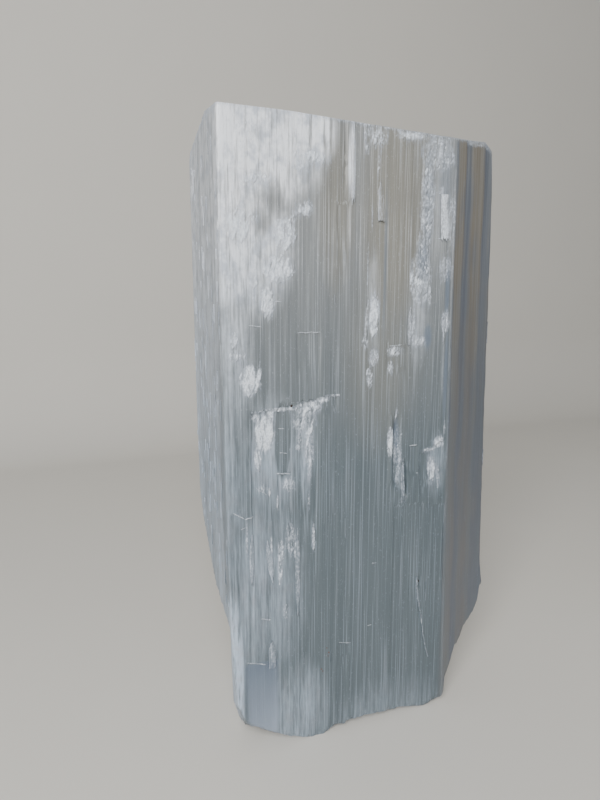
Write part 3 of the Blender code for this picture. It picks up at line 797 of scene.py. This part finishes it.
def satin_spar(props):
    """Satin spar, fibrous gypsum: milky, silky along the fibres, white where they are crushed."""
    material, tree, shader, coords = new_material(SPAR)
    add = partial(node, tree)

    # Real fibres go down to a few hundredths of a millimetre, too fine to show, so the finest
    # patterns here are as coarse as they need to be seen
    bands = streaks(tree, coords, 5.5, 300.0, 1.0)
    bundles = streaks(tree, coords, 1.4, 140.0, 2.0)
    fibres = streaks(tree, coords, 0.5, 60.0, 2.0)
    threads = streaks(tree, coords, 0.42, 45.0, 0.0)
    feathers = streaks(tree, coords, 0.8, 9.0, 3.0)
    grain = streaks(tree, coords, 0.6, 1.1, 3.0)
    veil = streaks(tree, coords, 5.0, 6.5, 3.0)
    chalk, frost, olive, facet, brown, clear = (
        add("ShaderNodeAttribute", output="Fac", attribute_name=name) for name in SURFACE_MARKS)
    height = add("ShaderNodeSeparateXYZ", {"Vector": coords}, "Z")

    # Tone from dark to pale in bands, bundles and fibres: cooler and darker towards the foot
    band_tone = add(RANGE, (bands, 0.3, 0.7, 0.0, 0.3))
    bundle_tone = add(RANGE, (bundles, 0.3, 0.7, 0.0, 0.35))
    tone = add(MATH, (band_tone, bundle_tone))
    tone = add(MATH, (tone, add(RANGE, (fibres, 0.3, 0.7, 0.0, 0.35))))
    # Painted shade: the upper colours are lit copies, the low ones darker, cooler copies of them
    upper = add(RANGE, (height, *SHADE_TO_LIGHT_HEIGHTS, 0.0, 1.0))
    dark = add(MIX, {0: upper, 6: props.shaded_deep_colour[:], 7: props.shade_colour[:]}, **COLOURS)
    pale = add(MIX, {0: upper, 6: props.shaded_low_colour[:], 7: props.body_colour[:]}, **COLOURS)
    colour = add(MIX, {0: tone, 6: dark, 7: pale}, **COLOURS)
    olive_tone = add(
        MIX, {0: tone, 6: props.olive_shade_colour[:], 7: props.olive_colour[:]}, **COLOURS)
    olive_share = add(MATH, (olive, 0.8), operation="MULTIPLY")
    colour = add(MIX, {0: olive_share, 6: colour, 7: olive_tone}, **COLOURS)

    # Brown and slate bands on the side facet, with a few pale fibres
    banded = add(MIX, {0: brown, 6: props.slate_colour[:], 7: props.brown_colour[:]}, **COLOURS)
    pale_fibres = add(RANGE, (tone, 0.38, 0.72, 0.0, 0.42))
    banded = add(MIX, {0: pale_fibres, 6: banded, 7: pale}, **COLOURS)
    colour = add(MIX, {0: facet, 6: colour, 7: banded}, **COLOURS)

    # Milk: pale threads as painted highlights, grains everywhere, and frosted ground veiled with
    # blue
    # The frost darkens towards the foot by the same height share: painted shade
    milk = add(MIX, {0: upper, 6: props.shaded_frost_colour[:], 7: props.frost_colour[:]}, **COLOURS)
    veiled = add(RANGE, (veil, 0.47, 0.64, 0.0, 0.75))
    milk = add(MIX, {0: veiled, 6: milk, 7: props.veil_colour[:]}, **COLOURS)
    # The pale threads paint the fibres' glints; the pale grains are the crystal's own specks
    glints_and_grains = add(RANGE, (threads, 0.56, 0.72, 0.0, 0.32))
    glints_and_grains = add(MATH, (glints_and_grains, add(RANGE, (grain, 0.62, 0.8, 0.0, 0.4))))
    fewer = add(MATH, (facet, 0.3), operation="MULTIPLY")
    glints_and_grains = add(MATH, (glints_and_grains, fewer), operation="SUBTRACT")
    colour = add(MIX, {0: glints_and_grains, 6: colour, 7: milk}, **COLOURS)
    patchy = add(RANGE, (feathers, 0.3, 0.7, 0.0, 1.1))
    patchy = add(MATH, (patchy, add(RANGE, (bundles, 0.3, 0.7, 0.0, 0.9))))
    frosted = add(MATH, (frost, patchy), operation="MULTIPLY")
    frosted = add(RANGE, (frosted, 0.05, 0.95, 0.0, 1.0))
    colour = add(MIX, {0: frosted, 6: colour, 7: milk}, **COLOURS)

    # The clear window, which pales towards the foot
    up = add(RANGE, (height, *WINDOW_HEIGHTS, 0.0, 1.0))
    window = add(MIX, {0: up, 6: props.window_foot_colour[:], 7: props.window_colour[:]}, **COLOURS)
    # The window colour also goes on the slate ground, and in the torn groove as painted shade
    window_share = add(MATH, (clear, 0.85), operation="MULTIPLY")
    colour = add(MIX, {0: window_share, 6: colour, 7: window}, **COLOURS)

    # Crushed fibre, chalky and speckled, with painted shade in the crusts' valleys
    # The chalk mark also paints highlight streaks on the left face
    crushed = add(MATH, (chalk, add(RANGE, (grain, 0.3, 0.7, -0.25, 0.25))))
    crushed = add(MATH, (crushed, add(RANGE, (feathers, 0.3, 0.7, -0.3, 0.3))))
    crushed = add(RANGE, (crushed, 0.25, 1.0, 0.0, 1.0))
    speckled = add(MATH, (chalk, add(RANGE, (grain, 0.35, 0.65, -0.24, 0.24))))
    speckled = add(RANGE, (speckled, 0.35, 1.1, 0.0, 1.0))
    chalky = add(
        MIX, {0: speckled, 6: props.chalk_shade_colour[:], 7: props.chalk_colour[:]}, **COLOURS)
    colour = add(MIX, {0: crushed, 6: colour, 7: chalky}, **COLOURS)

    # Silky along the fibres and matt where crushed, with both in the fine relief
    sheen = add(RANGE, (fibres, 0.3, 0.7, 0.34, 0.48))
    matt = add(MATH, (crushed, 0.4), operation="MULTIPLY")
    rough = add(MATH, (sheen, matt))
    grainy = add(MATH, (grain, crushed), operation="MULTIPLY")
    relief = add(MATH, (fibres, grainy))
    bump = add("ShaderNodeBump", {"Height": relief, "Strength": 0.4, "Distance": 0.2 * MM})

    # A little light passes where nothing clouds the crystal, and more in the window
    opaque = add(MATH, (crushed, frosted), operation="MAXIMUM")
    opaque = add(MATH, (opaque, facet), operation="MAXIMUM")
    see_through = add(RANGE, (opaque, 0.0, 1.0, 0.16, 0.0))
    clearer = add(MATH, (clear, 0.15), operation="MULTIPLY")
    see_through = add(MATH, (see_through, clearer))
    shader.inputs["IOR"].default_value = GYPSUM_IOR
    shader.inputs["Subsurface Weight"].default_value = 0.3
    shader.inputs["Subsurface Radius"].default_value = (1.0, 1.05, 1.1)
    shader.inputs["Subsurface Scale"].default_value = 1.4 * MM
    tree.links.new(see_through, shader.inputs["Transmission Weight"])
    tree.links.new(colour, shader.inputs["Base Color"])
    tree.links.new(rough, shader.inputs["Roughness"])
    tree.links.new(bump, shader.inputs["Normal"])
    return material


def matt_material(name, first, second, grain, roughness):
    """Two colours mottled together, from the width, length and detail of the grain."""
    material, tree, shader, coords = new_material(name)
    mottle = streaks(tree, coords, *grain)
    mottled = node(tree, MIX, {0: mottle, 6: first, 7: second}, **COLOURS)
    tree.links.new(mottled, shader.inputs["Base Color"])
    shader.inputs["Roughness"].default_value = roughness
    return material


def dry_clay(name, hex_colour):
    """A fleck of dry iron-stained clay, or a dark speck of painted shade: earthy and quite matt."""
    colour = linear(hex_colour)
    pale = tuple(min(1.0, value * 1.5) for value in colour)
    return matt_material(name, colour, pale, (0.3, 0.4, 2.0), 0.85)


def painted_board(colour):
    """Matt painted board: pale and even, with a faint mottle that stops it looking flat."""
    darker = tuple(0.96 * value for value in colour[:3]) + (1.0,)
    return matt_material("matt_painted_board", darker, colour[:], (90.0, 90.0, 3.0), 0.8)


def crust_relief(x, z):
    """How high a crust stands: feathers of crushed fibre that lean a little, and soft lumps."""
    feathers = waves(FEATHER_WAVES, x - 0.3 * z, z)
    return max(0.02, 0.28 + 0.26 * feathers + 0.34 * waves(CRUST_WAVES, x, z))


def crust_cover(x, z):
    """Above zero where a bruise carries its crust: the blots, frayed along the fibres."""
    cover = blot_strength(BRUISES, x, z)
    if cover < -0.7:
        return -1.0
    cover += waves(FRAY_WAVES, x - 0.2 * z, z)
    return cover + 0.30 * wavy(x, z, 0.5, 0.9, 19.0) - 0.1


def crust_chalk_and_shade_at(p):
    """How white a crust is: painted shade in its valleys, and the ground's look where it thins out.
    """
    # Its relief paints shade: high parts whiter, low parts towards the chalk shade colour
    chalk = 0.34 + 0.35 * crust_cover(p.x, p.z) + 1.1 * (crust_relief(p.x, p.z) - 0.26)
    worn = smooth((p.x - 76.0) / 2.0) * smooth((p.z - 155.0) / 40.0)
    return smooth(chalk + (0.47 - chalk) * 0.75 * worn)


def crust_mesh(crust, cell):
    """One crust: a fine sheet raised over the bruises, cut away between them and closed behind."""
    wide, tall = crust.x1 - crust.x0, crust.z1 - crust.z0
    bm = bmesh.new()
    bmesh.ops.create_grid(
        bm, x_segments=round(wide / cell), y_segments=round(tall / cell), size=0.5)
    bare = []
    for vert in bm.verts:
        x = crust.x0 + (vert.co.x + 0.5) * wide
        z = crust.z0 + (vert.co.y + 0.5) * tall
        cover = crust_cover(x, z)
        edge = min(x - crust.x0, crust.x1 - x, z - crust.z0, crust.z1 - z)
        cover = min(cover, edge * 0.6 - 0.4)
        lift = smooth(cover / 0.7) * crust_relief(x, z)
        sink = 0.9 * smooth(-cover / 0.25)
        vert.co = Vector((x, 0.12 - front_relief(x, z) - lift + sink, z))
        if cover < -0.3:
            bare.append(vert)
    bmesh.ops.delete(bm, geom=bare, context="VERTS")
    rim = [edge for edge in bm.edges if edge.is_boundary]
    for vert in verts_of(bmesh.ops.extrude_edge_only(bm, edges=rim)):
        vert.co.y += 0.8
    bmesh.ops.holes_fill(bm, edges=[edge for edge in bm.edges if edge.is_boundary], sides=0)
    bmesh.ops.recalc_face_normals(bm, faces=bm.faces)
    return bm


def plate(bm, corners_across, corners_along, shape, back):
    """Adds a thin closed plate: a grid, 0 to 1 each way, that a function puts in place."""
    made = bmesh.ops.create_grid(bm, x_segments=corners_across, y_segments=corners_along, size=0.5)
    for vert in made["verts"]:
        vert.co = shape(vert.co.x + 0.5, vert.co.y + 0.5)
    faces = list({face for vert in made["verts"] for face in vert.link_faces})
    grown = bmesh.ops.extrude_face_region(bm, geom=faces, use_keep_orig=True)
    bmesh.ops.translate(bm, verts=verts_of(grown), vec=back)


def splinter_mesh():
    """Long splinters that lift off the front, each with a torn foot and a tapered top."""
    bm = bmesh.new()
    for number, s in enumerate(SPLINTERS):
        def shape(across, along, s=s, number=number):
            down = 1.0 - along
            taper = s.top_share + (1.0 - s.top_share) * smooth(down * 3.0)
            taper *= 1.0 - (1.0 - s.foot_share) * smooth(down * 3.0 - 2.0)
            tear = 1.0 + 0.12 * wavy(across * 5.0, 0.0, 1.0, 1.0, number) * down
            x = s.x_top + (s.x_foot - s.x_top) * down + (across - 0.5) * s.width * taper
            z = s.z_top + (s.z_foot - s.z_top) * down * tear
            crown = 0.22 * (1.0 - (2.0 * across - 1.0) ** 2)
            lift = 0.25 + 0.6 * (s.lift_top + (s.lift_foot - s.lift_top) * down * down)
            ridge = 0.1 * wavy(x, z, 0.7, 20.0, number + 0.4)
            return Vector((x, -front_relief(x, z) - lift - crown + ridge, z))
        plate(bm, 7, 18, shape, PLATE_BACK)
    bmesh.ops.recalc_face_normals(bm, faces=bm.faces)
    return bm


def splinter_chalk_at(p):
    """How white the splinter nearest to a point is."""
    def distance(s):
        down = min(max((s.z_top - p.z) / (s.z_top - s.z_foot), 0.0), 1.0)
        across = p.x - s.x_top - (s.x_foot - s.x_top) * down
        return math.hypot(across, p.z - s.z_top + (s.z_top - s.z_foot) * down)
    return min(SPLINTERS, key=distance).chalk


def lip_mesh():
    """Short ragged lips along cracks that run across the fibres."""
    bm = bmesh.new()
    for number, lip in enumerate(LIPS):
        slope = math.tan(math.radians(lip.tilt))

        def shape(across, along, lip=lip, number=number, slope=slope):
            off = (across - 0.5) * lip.width
            ends = 0.3 + 0.7 * smooth((0.5 - abs(across - 0.5)) * 6.0)
            thick = (0.52 + 0.15 * wavy(off, 0.0, 0.8, 1.0, number + 0.2)) * ends
            x = lip.x + off
            crack = lip.z + off * slope + 0.25 * wavy(off, 0.0, 2.0, 1.0, number)
            z = crack + (along - 0.5) * thick
            swell = math.sin(math.pi * along) * 0.3 * ends
            return Vector((x, 0.15 - front_relief(x, z + 0.8) - swell, z))
        plate(bm, max(8, round(lip.width * 2.5)), 4, shape, Vector((0.0, 0.5, 0.0)))
    bmesh.ops.recalc_face_normals(bm, faces=bm.faces)
    return bm


def needle_mesh():
    """The curved scratch low on the right, as a thin raised ridge."""
    bm = bmesh.new()

    def shape(across, along):
        reach = along * (len(NEEDLE) - 1)
        index = min(int(reach), len(NEEDLE) - 2)
        (x0, z0), (x1, z1) = NEEDLE[index], NEEDLE[index + 1]
        share = reach - index
        x = x0 + (x1 - x0) * share
        z = z0 + (z1 - z0) * share
        width = 0.75 * (1.0 - 0.4 * along) * smooth(along * 8.0 + 0.3)
        crown = 0.16 * (1.0 - (2.0 * across - 1.0) ** 2)
        x += (across - 0.5) * width
        return Vector((x, -0.5 - front_relief(x, z) - crown, z))
    plate(bm, 5, 60, shape, PLATE_BACK)
    bmesh.ops.recalc_face_normals(bm, faces=bm.faces)
    return bm


def sliver_mesh(count, seed):
    """Loose fibres lying along the faces, thickest round the bruises."""
    rng = random.Random(seed)
    columns = plan_columns(0.9, 3.0)
    bm = bmesh.new()
    made = 0
    while made < count:
        column = rng.choice(columns)
        z = rng.uniform(*SLIVER_HEIGHTS)
        length = rng.uniform(*SLIVER_LENGTHS)
        width = rng.uniform(*SLIVER_WIDTHS)
        lean = rng.uniform(*SLIVER_LEANS)
        if column.face == FRONT:
            bruised = blot_strength(BRUISES, column.x, z)
            bruised += blot_strength(FROST, column.x, z) * 0.5
            if rng.random() > 0.04 + 0.7 * max(0.0, bruised):
                continue
        elif column.face == SIDE or (column.face != LEFT and rng.random() > 0.5):
            continue
        foot = foot_surface(column.x, column.y)
        if z < foot + 8.0 or z + length > top_surface(column.x, column.y) - 6.0:
            continue
        if column.x < 40.0 and column.face != FRONT and z < edge_height(WEDGE_EDGE, column.y) + 3.0:
            continue
        made += 1
        side_x, side_y = -column.out_y, column.out_x

        def shape(across, along):
            taper = 0.25 + 0.75 * math.sin(math.pi * (0.15 + 0.7 * along))
            off = (across - 0.5) * width * taper + lean * length * along
            row = z + length * along
            base = side_point(column, row)
            lift = 0.12 + 0.14 * (1.0 - (2.0 * across - 1.0) ** 2)
            x = base.x + side_x * off + column.out_x * lift
            return Vector((x, base.y + side_y * off + column.out_y * lift, row))
        plate(bm, 2, 3, shape, Vector((column.out_x, column.out_y, 0.0)) * -0.3)
    bmesh.ops.recalc_face_normals(bm, faces=bm.faces)
    return bm


def speck_mesh(specks):
    """Small flattened specks set in the front: grains, and the dark speck of painted shade in a
    pit.
    """
    bm = bmesh.new()
    for x, z, half in specks:
        made = bmesh.ops.create_icosphere(bm, subdivisions=2, radius=half)
        for vert in made["verts"]:
            bump = 1.0 + 0.35 * noise.noise(vert.co * 2.3 + Vector((x, z, 0.0)))
            flat = Vector((vert.co.x * 0.8, vert.co.y * 0.5, vert.co.z * 1.2)) * bump
            vert.co = flat + Vector((x, -front_relief(x, z) - 0.05, z))
    return bm


def colour_property(name, description, hex_colour):
    """A colour that a user can change, from its sRGB hex."""
    return bpy.props.FloatVectorProperty(
        name=name, description=description, subtype="COLOR", size=4,
        default=linear(hex_colour), min=0.0, max=1.0)


def millimetre_property(name, description, default, low, high):
    """A small length that a user can change, from millimetres."""
    return bpy.props.FloatProperty(
        name=name, description=description,
        default=default * MM, min=low * MM, max=high * MM, unit="LENGTH", precision=5)


class SELENITE_PG_block(bpy.types.PropertyGroup):
    face_spacing: millimetre_property(
        "Face detail", "Width of the mesh columns on the worked faces", 0.46, 0.3, 3.0)
    back_spacing: millimetre_property(
        "Back detail", "Width of the mesh columns on the back", 1.4, 0.3, 6.0)
    row_spacing: millimetre_property(
        "Row height", "Height of the mesh rows between ledges", 1.8, 0.5, 8.0)
    # Painted shade: the low colours are darker, cooler copies of the upper ones, for the foot
    body_colour: colour_property("Body", "Pale fibres in the upper half", "979B9D")
    shade_colour: colour_property("Body shade", "Darker fibres in the upper half", "787C80")
    shaded_low_colour: colour_property("Low body", "Pale fibres near the foot", "667279")
    shaded_deep_colour: colour_property("Low shade", "Darker fibres near the foot", "556169")
    frost_colour: colour_property("Frost", "Ground frosted by small cracks", "E6EBF3")
    veil_colour: colour_property("Veil", "Bluish veils in the frosted ground", "ABB4C2")
    # Low frost is a darker copy of the frost, painted shade towards the foot
    shaded_frost_colour: colour_property("Low frost", "Frosted ground near the foot", "B2C2D4")
    window_foot_colour: colour_property("Window foot", "The foot of the clear window", "AAB8CC")
    window_colour: colour_property("Window", "The clear window at the foot", "768599")
    olive_colour: colour_property("Olive", "Warm clear fibres, upper right", "939188")
    olive_shade_colour: colour_property("Olive shade", "Darker warm clear fibres", "7B7A72")
    slate_colour: colour_property("Slate bands", "Bluish bands of the side facet", "58606E")
    brown_colour: colour_property("Brown bands", "Brownish bands of the side facet", "736D63")
    chalk_colour: colour_property("Chalk", "Crushed fibre", "DFE8F3")
    # Chalk shade is painted shade in the crusts' valleys, and the crushed fibre's greyer grains
    chalk_shade_colour: colour_property("Chalk shade", "Crushed fibre between the scales", "98A2B3")


class SELENITE_PG_damage(bpy.types.PropertyGroup):
    crust_cell: millimetre_property(
        "Crust detail", "Mesh size of the crushed crusts", 0.34, 0.2, 2.0)
    sliver_count: bpy.props.IntProperty(
        name="Loose fibres", description="How many loose fibres lie on the faces",
        default=240, min=0, max=4000)
    ochre: bpy.props.StringProperty(
        name="Ochre", description="Hex colour of the clay specks", default="6B5147")
    # The dark colour serves a real grain above the ledge and a painted shadow in the pit at the
    # scratch
    grain: bpy.props.StringProperty(
        name="Dark grains", description="Hex colour of the dark grains", default="2A201C")


class SELENITE_PG_stage(bpy.types.PropertyGroup):
    floor_colour: colour_property("Floor", "Plain pale floor", "D8D6D1")
    floor_reach: bpy.props.FloatProperty(
        name="Floor reach", description="Half the width of the floor", default=4.0, unit="LENGTH")
    wall_distance: bpy.props.FloatProperty(
        name="Backdrop", description="From the block's middle to the backdrop",
        default=0.55, unit="LENGTH")
    cove: bpy.props.FloatProperty(
        name="Cove", description="Radius of the turn from floor to backdrop",
        default=0.12, unit="LENGTH")
    key_power: bpy.props.FloatProperty(
        name="Key light", description="Power of the soft light from the upper left",
        default=14.0, unit="POWER")
    fill: bpy.props.FloatProperty(
        name="Fill", description="Strength of the light from all round", default=0.45)


class SELENITE_OT_block(bpy.types.Operator):
    """Build the crystal itself, from its plan, ledges and chips"""
    bl_idname = "selenite.block"
    bl_label = "Crystal block"

    def execute(self, context):
        props = context.scene.selenite_block
        columns = plan_columns(props.face_spacing / MM, props.back_spacing / MM)
        rows = side_rows(props.row_spacing / MM)
        material = satin_spar(props)
        block = piece_from(lofted(block_rings(columns, rows)), "selenite_block", material)
        paint_marks(block, chalk_and_highlight_at)
        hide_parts("crystal_blade")
        return {"FINISHED"}


class SELENITE_OT_crusts(bpy.types.Operator):
    """Build the crusts of crushed fibre on the front"""
    bl_idname = "selenite.crusts"
    bl_label = "Crushed crusts"

    def execute(self, context):
        material = bpy.data.materials[SPAR]
        cell = context.scene.selenite_damage.crust_cell / MM
        for crust in CRUSTS:
            paint_marks(piece_from(crust_mesh(crust, cell), crust.name, material), crust_chalk_and_shade_at)
        return {"FINISHED"}


class SELENITE_OT_splinters(bpy.types.Operator):
    """Build the splinters, crack lips, scratch and loose fibres"""
    bl_idname = "selenite.splinters"
    bl_label = "Splinters and fibres"

    def execute(self, context):
        damage = context.scene.selenite_damage
        slivers = sliver_mesh(damage.sliver_count, SEED)
        for bm, name, chalk_of in (
            (splinter_mesh(), "splinters", splinter_chalk_at),
            (lip_mesh(), "crack_lips", lambda p: 0.75),
            (needle_mesh(), "curved_scratch", lambda p: 0.5),
            (slivers, "loose_fibres", lambda p: 0.35),
        ):
            paint_marks(piece_from(bm, name, bpy.data.materials[SPAR]), chalk_of)
        ochre = dry_clay("dry_ochre_clay", damage.ochre)
        # Dark clay for the grain, and painted shade for the pit at the scratch
        dark = dry_clay("dark_iron_clay", damage.grain)
        piece_from(speck_mesh(OCHRE_SPECKS), "ochre_specks", ochre)
        piece_from(speck_mesh(DARK_GRAIN_AND_PIT_SHADE), "dark_grain_and_pit_shade", dark)
        return {"FINISHED"}


class SELENITE_OT_stage(bpy.types.Operator):
    """Build the pale floor, the soft lights and the camera"""
    bl_idname = "selenite.stage"
    bl_label = "Studio"

    def execute(self, context):
        props = context.scene.selenite_stage
        build_floor(props)
        build_lights(context.scene, props)
        build_camera(context.scene)
        return {"FINISHED"}


def build_floor(props):
    """A plain pale sweep: the floor, turned up behind the block into a backdrop."""
    reach = props.floor_reach
    bm = bmesh.new()
    bmesh.ops.create_grid(bm, x_segments=1, y_segments=1, size=reach)
    bmesh.ops.translate(bm, verts=bm.verts, vec=Vector((0.0, props.wall_distance - reach, 0.0)))
    back = [edge for edge in bm.edges if all(vert.co.y > 0.0 for vert in edge.verts)]
    raised = verts_of(bmesh.ops.extrude_edge_only(bm, edges=back))
    bmesh.ops.translate(bm, verts=raised, vec=Vector((0.0, 0.0, reach)))
    bend = [edge for edge in bm.edges if len(edge.link_faces) == 2]
    bmesh.ops.bevel(
        bm, geom=bend, offset=props.cove, segments=16, affect="EDGES", profile=0.5, material=-1)
    mesh = bpy.data.meshes.new("studio_sweep")
    bm.to_mesh(mesh)
    bm.free()
    mesh.shade_smooth()
    mesh.materials.append(painted_board(props.floor_colour))
    sweep = bpy.data.objects.new("studio_sweep", mesh)
    bpy.context.scene.collection.objects.link(sweep)


def build_lights(scene, props):
    """A broad square key from the upper left, and an even grey surround."""
    data = bpy.data.lights.new("key_light", "AREA")
    data.size = KEY_LIGHT_SIZE
    data.energy = props.key_power
    data.color = KEY_LIGHT_TINT
    light = bpy.data.objects.new("key_light", data)
    light.location = KEY_LIGHT_AT
    light.rotation_euler = (KEY_LIGHT_AIM - KEY_LIGHT_AT).to_track_quat("-Z", "Y").to_euler()
    scene.collection.objects.link(light)
    world = bpy.data.worlds.new("studio")
    world.use_nodes = True
    background = world.node_tree.nodes["Background"]
    background.inputs["Color"].default_value = linear(SURROUND_GREY)
    background.inputs["Strength"].default_value = props.fill
    scene.world = world


def build_camera(scene):
    """The camera, near enough to the block for its sides to draw together."""
    data = bpy.data.cameras.new("camera")
    data.lens = CAMERA_LENS
    data.sensor_width = CAMERA_SENSOR
    data.clip_start = 0.01
    camera = bpy.data.objects.new("camera", data)
    camera.location = place(*CAMERA_AT)
    camera.rotation_euler = (CAMERA_TILT, 0.0, CAMERA_TURN)
    scene.collection.objects.link(camera)
    scene.camera = camera


class SELENITE_PT_panel(bpy.types.Panel):
    """Lists the pieces of the block and their sizes and colours"""
    bl_idname = "SELENITE_PT_panel"
    bl_label = "Raw selenite block"
    bl_space_type = "VIEW_3D"
    bl_region_type = "UI"
    bl_category = "Selenite"

    def draw(self, context):
        layout = self.layout
        groups = (
            (context.scene.selenite_block, ("selenite.block",)),
            (context.scene.selenite_damage, ("selenite.crusts", "selenite.splinters")),
            (context.scene.selenite_stage, ("selenite.stage",)),
        )
        for props, operators in groups:
            box = layout.box()
            for name in props.__annotations__:
                box.prop(props, name)
            for operator in operators:
                box.operator(operator)


CLASSES = (
    SELENITE_PG_block, SELENITE_PG_damage, SELENITE_PG_stage,
    SELENITE_OT_block, SELENITE_OT_crusts, SELENITE_OT_splinters, SELENITE_OT_stage,
    SELENITE_PT_panel,
)


def register():
    for cls in CLASSES:
        bpy.utils.register_class(cls)
    bpy.types.Scene.selenite_block = bpy.props.PointerProperty(type=SELENITE_PG_block)
    bpy.types.Scene.selenite_damage = bpy.props.PointerProperty(type=SELENITE_PG_damage)
    bpy.types.Scene.selenite_stage = bpy.props.PointerProperty(type=SELENITE_PG_stage)


def unregister():
    del bpy.types.Scene.selenite_stage
    del bpy.types.Scene.selenite_damage
    del bpy.types.Scene.selenite_block
    for cls in reversed(CLASSES):
        bpy.utils.unregister_class(cls)


def main():
    register()
    bpy.ops.selenite.block()
    bpy.ops.selenite.crusts()
    bpy.ops.selenite.splinters()
    bpy.ops.selenite.stage()


if __name__ == "__main__":
    main()
